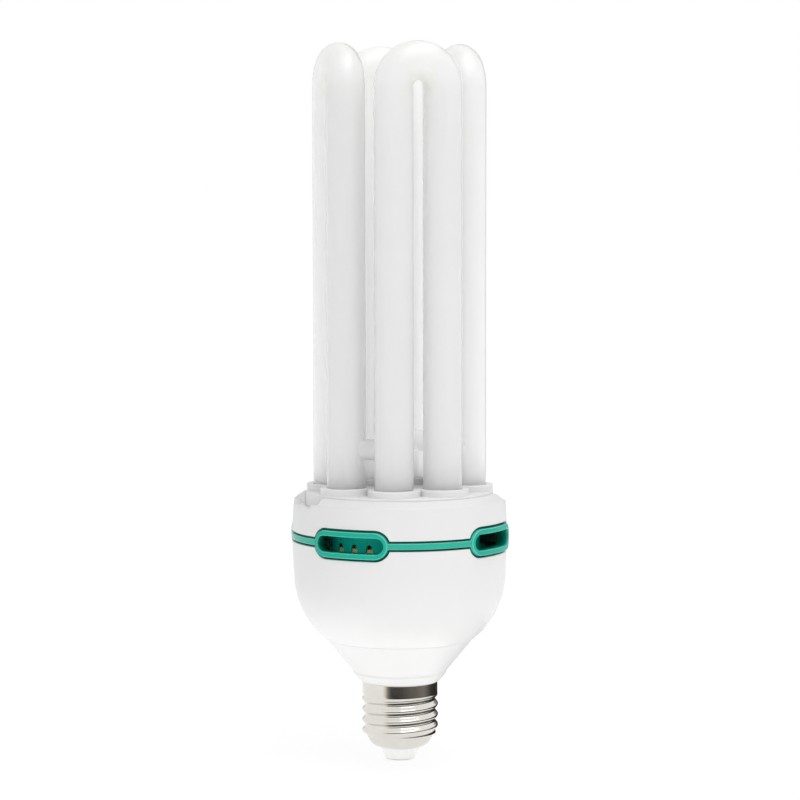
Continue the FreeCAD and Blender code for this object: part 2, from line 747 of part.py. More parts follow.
# Glass burner: four U-bent tubes, joined in a row by three fused bridges
def make_glass_burner():
    body = new_body("glass_burner")
    bend = plate_top + size.burner_reach - leg_offset - tube_radius
    path = new_sketch(body, "path", lift=size.u_offset)
    draw(path, [
        (leg_offset, leg_foot),
        (leg_offset, bend, "half", 1),
        (-leg_offset, bend),
        (-leg_offset, leg_foot),
    ], closed=False)
    section = new_sketch(body, "section", role="XY_Plane", lift=leg_foot)
    draw_circles(section, [(leg_offset, -size.u_offset)], tube_radius)
    tube = body.newObject("PartDesign::AdditivePipe", "glass_burner_tube")
    tube.Profile = section
    tube.Spine = (path, ["Edge1", "Edge2", "Edge3"])
    doc.recompute()
    repeated(body, "tubes", tube, 4)
    bridge = new_sketch(body, "bridge", turn=diagonal_turn)
    middle = (size.u_offset + leg_offset) / math.sqrt(2) - size.bridge_inset
    draw_circles(bridge, [(-middle, plate_top + size.bridge_height)], size.bridge_diameter / 2)
    span = (size.u_offset - leg_offset) * math.sqrt(2)
    bridges = pushed(body, "bridge", bridge, span, symmetric=True)
    repeated(body, "bridges", bridges, 3, angle=180)
    return body


# Ballast board: a round board on the vent ring's ledge, with its pieces hanging under it
def make_ballast_board():
    board = doc.addObject("Part::Cylinder", "ballast_board")
    bind(board, "Radius", board_radius)
    bind(board, "Height", size.board_thickness)
    bind(board, "Placement.Base.z", board_low)
    return board


def on_board(x_share, y_share):
    """A place on the board, from its shares of the board's radius."""
    return board_radius * x_share, board_radius * y_share


# Electrolytic capacitor: an aluminium can with a rolled bead near its foot
def make_bulk_capacitor():
    place = on_board(size.bulk_x_share, size.bulk_y_share)
    body = new_body("bulk_capacitor", *place, board_low - size.bulk_length)
    bead = size.bulk_bead
    neck = size.bulk_length - bead * 6
    turned(body, "can", [
        (zero, zero),
        (size.bulk_radius - bead, zero),
        (size.bulk_radius, bead),
        (size.bulk_radius, neck),
        (size.bulk_radius - bead, neck + bead),
        (size.bulk_radius, neck + bead * 2),
        (size.bulk_radius, size.bulk_length),
        (zero, size.bulk_length),
    ])
    return body


choke_middle = board_low - size.core_thickness / 2 - size.bobbin_rise


def block(label, length, width, height, x, y, z):
    """A box centred on a place."""
    box = doc.addObject("Part::Box", label)
    for target, value in (("Length", length), ("Width", width), ("Height", height)):
        bind(box, target, value)
    for axis, place, extent in (("x", x, length), ("y", y, width), ("z", z, height)):
        bind(box, f"Placement.Base.{axis}", place - extent / 2)
    return box


def combined(kind, label, *shapes):
    """A boolean of several objects."""
    result = doc.addObject(f"Part::{kind}", label)
    result.Label = label
    if kind == "Cut":
        result.Base, result.Tool = shapes
    else:
        result.Shapes = list(shapes)
    return result


# Choke: a pair of E-shaped ferrite cores through a bobbin with its copper winding
def make_choke():
    x, y = on_board(size.choke_x_share, size.choke_y_share)
    z = choke_middle
    length = size.core_length - size.core_yoke * 2
    gap = (size.core_width - size.core_leg) / 2 - size.core_flank
    aside = size.core_leg / 2 + gap / 2
    slab = block("choke_slab", size.core_length, size.core_width, size.core_thickness, x, y, z)
    openings = [
        block(f"choke_opening_{name}", length, gap, size.core_thickness * 2, x, y + aside * way, z)
        for name, way in (("near", -1), ("far", 1))
    ]
    core = combined("Cut", "choke_core", slab, combined("MultiFuse", "choke_openings", *openings))

    wall = size.bobbin_wall
    inner_width = size.core_leg + size.fit * 2
    inner_height = size.core_thickness + size.fit * 2
    tube_width = inner_width + wall * 2
    tube_height = inner_height + wall * 2
    reel = length - size.fit * 2
    flange_width = size.core_leg + gap * 2 - size.fit * 4
    flange_height = size.core_thickness + size.bobbin_rise * 2
    solids = [block("bobbin_tube", reel, tube_width, tube_height, x, y, z)]
    for name, way in (("near", -1), ("far", 1)):
        place = x + (reel / 2 - wall / 2) * way
        solids.append(block(f"bobbin_flange_{name}", wall, flange_width, flange_height, place, y, z))
    bore = block("bobbin_bore", length, inner_width, inner_height, x, y, z)
    bobbin = combined("Cut", "choke_bobbin", combined("MultiFuse", "bobbin_solid", *solids), bore)

    inset = size.winding_inset * 2
    copper = block("winding_copper", reel - wall * 2, flange_width - inset, flange_height - inset, x, y, z)
    inside = block("winding_inside", reel, tube_width, tube_height, x, y, z)
    winding = combined("Cut", "choke_winding", copper, inside)
    return [core, bobbin, winding]


# Drive toroid: a small ferrite ring under the board
def make_drive_toroid():
    place = on_board(size.toroid_x_share, size.toroid_y_share)
    body = new_body("drive_toroid", *place, board_low - size.toroid_height)
    turned(body, "ring", rectangle(size.toroid_bore, zero, size.toroid_radius, size.toroid_height))
    return body


# Power transistors: two flat packages, each hanging on three leads
def make_power_transistors():
    packages = []
    x, row = on_board(size.switch_x_share, size.switch_y_share)
    for name, way in (("near", -1), ("far", 1)):
        y = row + size.switch_pitch / 2 * way
        z = board_low - size.switch_standoff - size.switch_height / 2
        case = (size.switch_thickness, size.switch_width, size.switch_height)
        solids = [block(f"switch_case_{name}", *case, x, y, z)]
        lead = (size.switch_leg, size.switch_leg, size.switch_standoff)
        middle = board_low - size.switch_standoff / 2
        for side in (-1, 0, 1):
            place = y + size.switch_lead_pitch * side
            solids.append(block(f"switch_lead_{name}_{side + 1}", *lead, x, place, middle))
        packages.append(combined("MultiFuse", f"switch_{name}", *solids))
    return grouped("power_transistors", packages)


def grouped(label, shapes):
    """Several separate solids as one sub-part."""
    group = doc.addObject("Part::Compound", label)
    group.Label = label
    group.Links = shapes
    return group


# Film capacitors: round-ended dipped blocks under the board
def make_film_block(label, length, width, height, x, y):
    body = new_body(label, x, y, board_low - height)
    outline = new_sketch(body, "end", role="XY_Plane")
    draw(outline, stadium(length, width, zero))
    pushed(body, "case", outline, height)
    return body


def make_film_capacitor():
    case = (size.film_length, size.film_width, size.film_height)
    return make_film_block("film_capacitor", *case, *on_board(size.film_x_share, size.film_y_share))


def make_coupling_capacitor():
    case = (size.block_length, size.block_width, size.block_height)
    return make_film_block("coupling_capacitor", *case, *on_board(size.block_x_share, size.block_y_share))


# Rectifier diodes and fuse resistor: a round case on a wire that is bent up to the board at both ends
def make_axial(label, radius, length, x, y, turn):
    body = new_body(label, x, y, board_low, turn)
    wire = size.lead_width
    half = length / 2 + size.lead_run
    axis = -size.lying_gap - radius
    staple = new_sketch(body, "staple")
    draw(staple, [
        (-half - wire, zero),
        (-half - wire, axis - wire / 2),
        (half + wire, axis - wire / 2),
        (half + wire, zero),
        (half, zero),
        (half, axis + wire / 2),
        (-half, axis + wire / 2),
        (-half, zero),
    ])
    pushed(body, "wire", staple, wire, symmetric=True)
    end = new_sketch(body, "end", role="YZ_Plane")
    draw_circles(end, [(zero, axis)], radius)
    pushed(body, "case", end, length, symmetric=True)
    return body


def make_rectifier_diodes():
    diodes = []
    first, y = on_board(size.diode_x_share, size.diode_y_share)
    for index in range(4):
        x = first + size.diode_pitch * index
        diodes.append(make_axial(f"diode_{index + 1}", size.diode_radius, size.diode_length, x, y, 90))
    return grouped("rectifier_diodes", diodes)


def make_fuse_resistor():
    place = on_board(size.fuse_x_share, size.fuse_y_share)
    return make_axial("fuse_resistor", size.fuse_radius, size.fuse_length, *place, 0)


# Filter coil: a drum with its winding between two flanges
def make_filter_coil():
    place = on_board(size.coil_x_share, size.coil_y_share)
    body = new_body("filter_coil", *place, board_low - size.coil_height)
    flange = size.coil_flange
    turned(body, "drum", [
        (zero, zero),
        (size.coil_radius, zero),
        (size.coil_radius, flange),
        (size.coil_waist, flange),
        (size.coil_waist, size.coil_height - flange),
        (size.coil_radius, size.coil_height - flange),
        (size.coil_radius, size.coil_height),
        (zero, size.coil_height),
    ])
    return body


# Wrap pins: two square pins under each electrode leg, with the tube's wires wound round them
half_spread = size.pin_spread / 2
pin_places = (
    (-leg_offset - half_spread, size.u_offset),
    (-leg_offset + half_spread, size.u_offset),
    (-size.u_offset, leg_offset - half_spread),
    (-size.u_offset, leg_offset + half_spread),
)


def make_wrap_pins():
    middle = board_high + size.pin_height / 2
    pins = [
        block(f"pin_{index + 1}", size.pin_width, size.pin_width, size.pin_height, x, y, middle)
        for index, (x, y) in enumerate(pin_places)
    ]
    return grouped("wrap_pins", pins)


def make_tube_leads():
    body = new_body("tube_leads")
    wire = size.wire_radius * 2
    inner = size.pin_width / 2 + size.fit
    outer = inner + wire
    wrap_low = board_high + size.wrap_low
    turns = new_sketch(body, "turns", role="XY_Plane", lift=wrap_low)
    for x, y in pin_places:
        draw(turns, rectangle(x - inner, y - inner, x + inner, y + inner))
        draw(turns, rectangle(x - outer, y - outer, x + outer, y + outer))
    pushed(body, "wraps", turns, size.wrap_height)
    beside = inner + size.wire_radius
    ends = new_sketch(body, "ends", role="XY_Plane", lift=wrap_low + size.wrap_height)
    draw_circles(ends, [(x + beside, y) for x, y in pin_places], size.wire_radius)
    pushed(body, "runs", ends, leg_foot - wrap_low - size.wrap_height)
    return body


# Cap leads: one wire down the axis to the centre contact, one beside it to the end of the screw shell
def make_cap_leads():
    leads = []
    for name, x, foot in (("centre", zero, contact_top), ("shell", size.cable_offset, size.cable_foot)):
        lead = doc.addObject("Part::Cylinder", f"{name}_lead")
        bind(lead, "Radius", size.cable_radius)
        bind(lead, "Height", board_low - foot)
        bind(lead, "Placement.Base.x", x)
        bind(lead, "Placement.Base.z", foot)
        leads.append(lead)
    return grouped("cap_leads", leads)


parts = [
    make_centre_contact(),
    make_cap_insulator(),
    make_screw_shell(),
    make_cap_neck(),
    make_lower_shell(),
    make_vent_ring(),
    make_upper_shell(),
    make_burner_plate(),
    make_glass_burner(),
    make_ballast_board(),
    make_bulk_capacitor(),
    *make_choke(),
    make_drive_toroid(),
    make_power_transistors(),
    make_film_capacitor(),
    make_coupling_capacitor(),
    make_rectifier_diodes(),
    make_filter_coil(),
    make_fuse_resistor(),
    make_wrap_pins(),
    make_tube_leads(),
    make_cap_leads(),
]
doc.recompute()

# Nothing is written unless every object and every sub-part came out sound
for thing in doc.Objects:
    if "Invalid" in thing.State or "Error" in thing.State:
        raise RuntimeError(f"{thing.Label} failed: {thing.State}")
for part in parts:
    if part.Shape.isNull() or not part.Shape.isValid() or not part.Shape.Solids:
        raise RuntimeError(f"{part.Label} has no sound shape")
os.makedirs("parts", exist_ok=True)
for part in parts:
    part.Shape.exportStep(f"parts/{part.Label}.step")
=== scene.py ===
import bmesh
import bpy
import math
import numpy as np
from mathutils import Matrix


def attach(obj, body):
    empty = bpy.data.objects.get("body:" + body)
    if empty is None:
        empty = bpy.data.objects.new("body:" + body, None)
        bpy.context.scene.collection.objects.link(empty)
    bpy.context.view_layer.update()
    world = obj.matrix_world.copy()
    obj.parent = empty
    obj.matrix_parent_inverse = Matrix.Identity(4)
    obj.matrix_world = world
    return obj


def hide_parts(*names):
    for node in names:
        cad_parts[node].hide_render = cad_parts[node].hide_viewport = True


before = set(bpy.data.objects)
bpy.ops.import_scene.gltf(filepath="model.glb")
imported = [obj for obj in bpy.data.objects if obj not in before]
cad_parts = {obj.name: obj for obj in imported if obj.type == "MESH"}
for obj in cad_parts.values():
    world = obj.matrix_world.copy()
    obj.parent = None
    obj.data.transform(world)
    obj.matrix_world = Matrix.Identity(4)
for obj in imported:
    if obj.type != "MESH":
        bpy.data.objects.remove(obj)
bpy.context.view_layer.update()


# Centre contact
# A tin-plated disc at the tip of the cap, stamped from sheet, with an eyelet that the lead is soldered in.
# The socket's spring presses on its face, so the plating there is dulled by fine scratches.
contact_radius = 4.2
contact_thick = 0.55
eyelet_radius = 1.2
eyelet_top = 7.6


def eased(corners, radii, steps=5):
    """Profile with rounded corners: each corner becomes a parabola between the two points that lie its
    radius away on the runs before and after it. Corners are (number, 2), or (number, columns, 2) where the
    profile varies."""
    corners = np.asarray(corners, float)
    if corners.ndim == 2:
        corners = corners[:, None, :]
    reach = np.asarray(radii, float)[:, None, None]

    def towards(other):
        run = other - corners
        length = np.maximum(np.linalg.norm(run, axis=-1, keepdims=True), 1e-6)
        return corners + run / length * np.minimum(reach, length * 0.48)

    before = towards(np.roll(corners, 1, axis=0))
    after = towards(np.roll(corners, -1, axis=0))
    share = np.linspace(0, 1, steps)[None, :, None, None]
    curve = (before[:, None] * (1 - share) ** 2
             + corners[:, None] * 2 * share * (1 - share)
             + after[:, None] * share ** 2)
    return curve.reshape(-1, *corners.shape[1:])


def turned(profile, angles):
    """Surface of revolution: a profile point (r, z) at angle a is (r cos a, r sin a, z)."""
    radius = profile[..., 0]
    height = profile[..., 1] + 0 * angles
    return np.stack((radius * np.cos(angles), radius * np.sin(angles), height), axis=-1)


def woven(points, closed_rows=False, closed_columns=True):
    """Corners and quads of a grid: each quad joins a point to its neighbours in the next row and column,
    and the last row or column goes on to the first where the grid is closed that way."""
    rows, columns = points.shape[:2]
    index = np.arange(rows * columns).reshape(rows, columns)
    if closed_rows:
        index = np.vstack((index, index[:1]))
    if closed_columns:
        index = np.hstack((index, index[:, :1]))
    quads = np.stack((index[:-1, :-1], index[:-1, 1:], index[1:, 1:], index[1:, :-1]), axis=-1)
    return points.reshape(-1, 3), quads.reshape(-1, 4)


def new_piece(name, *surfaces):
    """One object from woven surfaces in millimetres: their points are put in one list, and poles and seams
    are closed by merging points that coincide."""
    starts = np.cumsum([0] + [len(points) for points, quads in surfaces])
    corners = np.concatenate([points for points, quads in surfaces]) * 0.001
    faces = np.concatenate([quads + start for (points, quads), start in zip(surfaces, starts)])
    mesh = bpy.data.meshes.new(name)
    mesh.from_pydata(corners, [], faces)
    shell = bmesh.new()
    shell.from_mesh(mesh)
    bmesh.ops.remove_doubles(shell, verts=shell.verts, dist=1e-6)
    bmesh.ops.recalc_face_normals(shell, faces=shell.faces)
    shell.to_mesh(mesh)
    shell.free()
    mesh.shade_smooth()
    piece = bpy.data.objects.new(name, mesh)
    bpy.context.scene.collection.objects.link(piece)
    piece.modifiers.new("even_shading", "WEIGHTED_NORMAL")
    return piece


class Shade:
    """A value in a material, which is one output socket. Each operator adds a Math node."""

    def __init__(self, tree, socket=None):
        self.tree = tree
        self.socket = socket

    def node(self, kind, settings={}, inputs={}, output=0):
        """Any other node: its settings are made first, then its sockets get their values or links."""
        made = self.tree.nodes.new(kind)
        for name, value in settings.items():
            setattr(made, name, value)
        for name, value in inputs.items():
            if isinstance(value, Shade):
                self.tree.links.new(value.socket, made.inputs[name])
            else:
                made.inputs[name].default_value = value
        return Shade(self.tree, made.outputs[output] if len(made.outputs) else None)

    def maths(self, operation, first, second):
        return self.node("ShaderNodeMath", {"operation": operation}, {0: first, 1: second})

    def __add__(self, other):
        return self.maths("ADD", self, other)

    __radd__ = __add__

    def __mul__(self, other):
        return self.maths("MULTIPLY", self, other)

    __rmul__ = __mul__

    def __sub__(self, other):
        return self.maths("SUBTRACT", self, other)

    def __rsub__(self, other):
        return self.maths("SUBTRACT", other, self)


def new_finish(name):
    """An empty material, and the Object coordinates that its pattern is laid out in."""
    material = bpy.data.materials.new(name)
    material.use_nodes = True
    material.node_tree.nodes.clear()
    place = Shade(material.node_tree).node("ShaderNodeTexCoord", output="Object")
    return material, place


def grain(place, scale, detail=2.0, stretch=(1, 1, 1)):
    """Noise of a given number of cells per metre, drawn out along an axis by a stretch below 1."""
    laid = place.node("ShaderNodeMapping", {}, {"Vector": place, "Scale": stretch})
    return place.node("ShaderNodeTexNoise", {}, {"Vector": laid, "Scale": scale, "Detail": detail})


def between(value, low, high, start=0.0, end=1.0):
    """A smooth step of a value, from start at low to end at high."""
    limits = {"Value": value, "From Min": low, "From Max": high, "To Min": start, "To Max": end}
    return value.node("ShaderNodeMapRange", {"interpolation_type": "SMOOTHSTEP"}, limits)


def mixed(mask, first, second):
    """The first colour where the mask is 0, and the second where it is 1."""
    sockets = {"Factor": mask, 6: first, 7: second}
    return mask.node("ShaderNodeMix", {"data_type": "RGBA"}, sockets, output=2)


def relief(height, depth, strength=1.0):
    """A Bump node for a height from 0 to 1 that stands for a depth in millimetres."""
    sockets = {"Height": height, "Distance": depth * 0.001, "Strength": strength}
    return height.node("ShaderNodeBump", {}, sockets)


def close_finish(place, sockets):
    """The shader with its sockets filled, led to the material's output."""
    shader = place.node("ShaderNodeBsdfPrincipled", {}, sockets)
    place.node("ShaderNodeOutputMaterial", {}, {"Surface": shader})


def dress(piece, material, node):
    """A piece that stands for a CAD node, in its material."""
    piece.data.materials.append(material)
    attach(piece, "root")
    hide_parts(node)


all_round = np.linspace(0, 2 * np.pi, 128, endpoint=False)
contact_profile = eased(
    [(0, 0), (contact_radius - 0.5, 0), (contact_radius, 0.2), (contact_radius, contact_thick),
     (eyelet_radius, contact_thick), (eyelet_radius, eyelet_top), (0, eyelet_top)],
    [0, 0.4, 0.15, 0.1, 0.05, 0.2, 0],
)
contact = new_piece("contact_disc", woven(turned(contact_profile, all_round)))

tin_plate, place = new_finish("tin_plate")
scratches = grain(place, 900, stretch=(1, 0.12, 1))
dull = grain(place, 380)
close_finish(place, {
    "Base Color": mixed(dull, (0.70, 0.69, 0.66, 1), (0.56, 0.55, 0.52, 1)),
    "Roughness": 0.2 + 0.25 * scratches,
    "Metallic": 1.0,
    "Normal": relief(scratches, 0.02, 0.5),
})
dress(contact, tin_plate, "centre_contact")


# Insulator
# A glossy white moulded cone that comes through the end of the screw shell and keeps the contact off it.
# A ledge inside the shell holds it, and the contact sits in a shallow recess in its tip.
recess_radius = contact_radius + 0.1
insulator_tip = 0.25
cone_radius = 6.85
cone_top = 4.5
ledge_radius = 7.95
ledge_low = 5.3
ledge_top = 6.8
insulator_profile = eased(
    [(eyelet_radius, contact_thick), (recess_radius, contact_thick), (recess_radius, insulator_tip),
     (4.8, insulator_tip), (5.2, 0.9), (cone_radius, cone_top), (cone_radius, ledge_low),
     (ledge_radius, ledge_low), (ledge_radius, ledge_top), (eyelet_radius, ledge_top)],
    [0.1, 0.1, 0.1, 0.2, 0.35, 0.3, 0.1, 0.1, 0.2, 0.1],
)
insulator = new_piece("insulator_cone", woven(turned(insulator_profile, all_round), closed_rows=True))

gloss_white, place = new_finish("gloss_white_moulding")
mottle = grain(place, 260)
close_finish(place, {
    "Base Color": mixed(mottle, (0.92, 0.92, 0.90, 1), (0.88, 0.88, 0.86, 1)),
    "Roughness": 0.2 + 0.12 * grain(place, 1400),
    "Normal": relief(mottle, 0.03, 0.4),
})
dress(insulator, gloss_white, "cap_insulator")


# Screw shell
# Nickel-plated sheet, drawn to a cup and rolled to the round right-hand thread of a 27 mm Edison cap.
# Drawing leaves fine upright lines in the plain skirt, and the rim is pinched onto the plastic neck.
shell_wall = 0.45
shell_rim = 27.4
thread_pitch = 3.629
thread_depth = 1.04
crest_radius = 13.1
root_radius = 12.0
skirt_radius = 12.9
crest_angle = math.radians(-107.06)
crest_height = 18.4
thread_foot = 8.4
thread_end = 21.8


def smooth(value):
    """Smooth step from 0 to 1: 3 v squared less 2 v cubed, with v kept between 0 and 1."""
    value = np.clip(value, 0, 1)
    return value * value * (3 - 2 * value)


def sheet_radius(height, angles):
    """Radius of the rolled sheet: a cosine wave that rises one pitch a turn, which fades out into the end's
    rounding below and into the plain skirt above."""
    wave_height = height - crest_height - thread_pitch * (angles - crest_angle) / (2 * np.pi)
    thread = crest_radius - thread_depth / 2 * (1 - np.cos(2 * np.pi * wave_height / thread_pitch))
    plain = root_radius + (skirt_radius - root_radius) * smooth((height - 16) / 6)
    fade = smooth((height - thread_foot) / 1.7) * (1 - smooth((height - thread_end) / 1.6))
    return plain + (thread - plain) * fade


def rows_of(points, columns):
    """Rows of points (number, 2) repeated over the columns."""
    return np.asarray(points, float)[:, None, :] + np.zeros((1, columns, 1))


dome_bulge = 0.97
dome_from = np.array((cone_radius + 0.1, cone_top))
dome_to = np.array((11.2, thread_foot))
dome_chord = dome_to - dome_from
dome_out = np.array((dome_chord[1], -dome_chord[0])) / np.linalg.norm(dome_chord)
dome_control = (dome_from + dome_to) / 2 + dome_out * dome_bulge * 2
dome_share = np.linspace(0, 1, 14)[:, None]
dome_curve = (dome_from * (1 - dome_share) ** 2
              + dome_control * 2 * dome_share * (1 - dome_share)
              + dome_to * dome_share ** 2)
thread_rows = np.linspace(9.2, shell_rim - 0.3, 190)[:, None]
outer_rows = np.stack((sheet_radius(thread_rows, all_round), thread_rows + 0 * all_round), axis=-1)
rim_fold = np.array([(-0.04, -0.1), (-0.16, 0), (-0.34, -0.02), (-0.45, -0.15)])
rim_fold = rim_fold + (skirt_radius, shell_rim)
inner_heights = np.linspace(shell_rim - 0.4, 9.4, 60)[:, None]
inner_radius = sheet_radius(inner_heights, all_round) - shell_wall
inner_rows = np.stack((inner_radius, inner_heights + 0 * all_round), axis=-1)
dome_inner = dome_curve[::-1] + (-0.28, 0.36)
dome_inner[-1] = dome_from + (0, shell_wall)
columns = len(all_round)
shell_rows = np.concatenate((
    rows_of(dome_curve, columns), outer_rows, rows_of(rim_fold, columns), inner_rows,
    rows_of(dome_inner, columns),
))
shell_grid = turned(shell_rows, all_round)
screw_shell = new_piece("rolled_screw_shell", woven(shell_grid, closed_rows=True))

nickel, place = new_finish("nickel_plate")
draw_lines = grain(place, 1500, detail=3.0, stretch=(1, 1, 0.02))
stains = grain(place, 160)
close_finish(place, {
    "Base Color": mixed(stains, (0.80, 0.78, 0.74, 1), (0.70, 0.67, 0.62, 1)),
    "Roughness": 0.12 + 0.1 * draw_lines,
    "Metallic": 1.0,
    "Normal": relief(draw_lines, 0.02, 0.35),
})
dress(screw_shell, nickel, "screw_shell")


# Neck
# A white moulded cone between the cap and the bowl, with a lip over the screw shell's rim.
# Its plug holds the shell and its spigot goes up inside the bowl, which leaves a fine seam line.
neck_bore = 10.75
plug_radius = 12.35
plug_foot = 24.0
lip_radius = 15.95
lip_height = 30.2
seam_height = 42.05
spigot_radius = 23.38
spigot_bore = 21.78
spigot_top = 45.05
neck_profile = eased(
    [(neck_bore, plug_foot), (plug_radius, plug_foot), (plug_radius, shell_rim), (13.4, shell_rim),
     (lip_radius, lip_height), (lip_radius, lip_height + 0.7), (25.13, seam_height),
     (spigot_radius, seam_height), (spigot_radius, spigot_top), (spigot_bore, spigot_top),
     (spigot_bore, seam_height - 0.8), (neck_bore, lip_height)],
    [0.2, 0.2, 0.05, 0.25, 0.3, 0.3, 0.22, 0.1, 0.2, 0.2, 0.5, 0.5],
)
many_round = np.linspace(0, 2 * np.pi, 192, endpoint=False)
neck = new_piece("cap_neck_cone", woven(turned(neck_profile, many_round), closed_rows=True))

satin_white, place = new_finish("satin_white_moulding")
flow = grain(place, 45, detail=3.0)
skin = grain(place, 2600, detail=2.0)
close_finish(place, {
    "Base Color": mixed(flow, (0.83, 0.83, 0.827, 1), (0.795, 0.795, 0.79, 1)),
    "Roughness": 0.32 + 0.16 * skin,
    "Specular IOR Level": 0.45,
    "Normal": relief(skin, 0.012, 0.35),
})
dress(neck, satin_white, "cap_neck")


# Lower shell
# The white bowl of the ballast housing, injection moulded in one wall and drafted to leave the mould.
# Its rim is cut out round the four window frames, and stops short of the green band by a dark line.
bowl_wall = 1.8
seam_radius = 25.28
flank_radius = 36.25
flank_foot = 63.2
flank_rise = 13.15
flank_draft = 0.65
band_middle = 77.95
band_half = 1.6
frame_width = 27.5
frame_height = 9.0
strip_width = 0.55
surround_width = frame_width + 2 * strip_width
surround_height = frame_height + 2 * strip_width
rim_gap = 0.18
rim_ease = 0.35
cut_half_straight = (surround_width - surround_height) / 2
cut_radius = surround_height / 2 + rim_gap
cut_rest = band_half + rim_gap * 0.7
cut_turn = math.acos(cut_rest / cut_radius)
cut_end = cut_half_straight + cut_radius * math.sin(cut_turn)

straight = np.linspace(-cut_half_straight, cut_half_straight, 49)
bend = np.linspace(0, cut_turn, 13)[1:]
beside = np.linspace(0, 1, 45)[1:]
still = np.ones(len(beside))
bend_x = cut_half_straight + cut_radius * np.sin(bend)
bend_cut = cut_radius * np.cos(bend)
column_x = np.concatenate((-cut_end * still, -bend_x[::-1], straight, bend_x, cut_end * still[:-1]))
column_share = np.concatenate((-beside[::-1], 0 * bend, 0 * straight, 0 * bend, beside[:-1]))
column_cut = np.concatenate((
    cut_rest * still, bend_cut[::-1], np.full(len(straight), cut_radius), bend_cut, cut_rest * still[:-1],
))
window_middles = np.array((45, 135, 225, 315))
rim_cut = np.tile(column_cut, len(window_middles))


def round_windows(radius):
    """Angles of the columns at a radius: across a window a column keeps its distance x from the window's
    middle, at asin(x / radius), and beside it the columns share out the angle left to the quarter's end."""
    quarter = radius.reshape(radius.shape[0], len(window_middles), -1)
    end = np.arcsin(cut_end / quarter)
    angle = np.arcsin(column_x / quarter) + column_share * (np.pi / 4 - end)
    middles = np.radians(window_middles)[None, :, None]
    return (angle + middles).reshape(radius.shape)


def walled(profile):
    """Closed wall from a profile (rows, columns, 2) of radius and height, laid out on the columns."""
    return turned(profile, round_windows(profile[..., 0]))


def bowl_curve(start, end, centre, number):
    """Points on the arc about a centre from the start's angle to the end's."""
    first = math.atan2(start[1] - centre[1], start[0] - centre[0])
    last = math.atan2(end[1] - centre[1], end[0] - centre[0])
    sweep = np.linspace(first, last, number)
    radius = np.linspace(math.dist(start, centre), math.dist(end, centre), number)
    return np.stack((centre[0] + radius * np.cos(sweep), centre[1] + radius * np.sin(sweep)), axis=-1)


columns = len(rim_cut)
bowl_centre = (7.245, 64.82)
seam_inside = seam_radius - bowl_wall
bowl_out = bowl_curve((seam_radius, seam_height), (flank_radius, flank_foot), bowl_centre, 30)
bowl_in = bowl_curve((flank_radius - bowl_wall, flank_foot), (seam_inside, seam_height), bowl_centre, 16)
low_rim = band_middle - rim_cut


def flank(height, inset):
    """Radius of the drafted flank at a height, less an inset for the inner face."""
    return flank_radius + flank_draft * (height - flank_foot) / flank_rise - inset


flank_share = np.linspace(0.1, 1, 8)[:, None]
flank_height = flank_foot + (low_rim - rim_ease - flank_foot) * flank_share
flank_out = np.stack((flank(flank_height, 0), flank_height), axis=-1)
rim_corner = np.array([
    (0.03, -0.18), (0.1, -0.07), (0.2, -0.015), (rim_ease, 0), (bowl_wall - 0.2, 0), (bowl_wall, -0.2),
])
rim_height = low_rim + rim_corner[:, 1:]
rim_turn = np.stack((flank(rim_height, rim_corner[:, :1]), rim_height), axis=-1)
flank_back = flank_height[::-1] - 0.2
flank_in = np.stack((flank(flank_back, bowl_wall), flank_back), axis=-1)
seam_edge = np.array([(-bowl_wall, 0), (-0.28, 0), (-0.12, 0.03), (-0.03, 0.11)])
seam_edge = seam_edge + (seam_radius, seam_height)
bowl_rows = np.concatenate((
    rows_of(bowl_out[1:], columns), flank_out, rim_turn, flank_in, rows_of(bowl_in[:-1], columns),
    rows_of(seam_edge, columns),
))
lower_shell = new_piece("lower_bowl", woven(walled(bowl_rows), closed_rows=True))
dress(lower_shell, satin_white, "lower_shell")


# Vent ring
# One green moulding between the two shells: a narrow band, four oblong window frames with round edges, and
# a channel behind them whose inner wall has arched slots. Air goes in through them to the ballast. The
# frames' edges are lightened in colour as a painted highlight, the walls inside the windows are darkened as
# painted shade, and the inner wall is lightened as painted light.
ring_bore = 33.4
ring_foot = 72.6
ring_top = 83.3
strip_radius = 35.4
band_face = 37.1
band_start = 20.8
frame_face = 37.6
frame_border = 2.35
window_width = 25.0
window_height = 5.4
channel_radius = 34.6
channel_top = 82.0
ledge_bore = 24.8
edge_lap = 0.5
sleeve_outer = 27.4
sleeve_inner = 26.8
sleeve_foot = 73.6
sleeve_top = 82.6
slot_number = 6
slot_pitch = 5.8
slot_floor = 73.9
slot_knee = 74.9
arch_height = 76.1
frame_sweep = np.concatenate((
    np.linspace(-90, 90, 25), np.full(15, 90), np.linspace(90, 270, 25), np.full(15, 270),
))
frame_side = np.concatenate((
    np.full(25, 1.0), np.linspace(1, -1, 17)[1:-1], np.full(25, -1.0), np.linspace(-1, 1, 17)[1:-1],
))


def oblong(width, height):
    """Round-ended outline: a centre on the straight part, plus a radius at the sweep angle."""
    turn = np.radians(frame_sweep)
    across = frame_side * (width - height) / 2 + np.cos(turn) * height / 2
    return across, band_middle + np.sin(turn) * height / 2


bead = eased(
    [(0, ring_bore), (0, strip_radius), (strip_width, strip_radius), (strip_width, frame_face),
     (frame_border, frame_face), (frame_border, ring_bore)],
    [0.1, 0.1, 0.15, 0.5, 0.5, 0.3], steps=7,
)
bead_inset = bead[..., 0]
bead_depth = bead[..., 1]
inset_steps = (0, strip_width, frame_border)
bead_width = np.interp(bead_inset, inset_steps, (surround_width, frame_width, window_width))
bead_height = np.interp(bead_inset, inset_steps, (surround_height, frame_height, window_height))


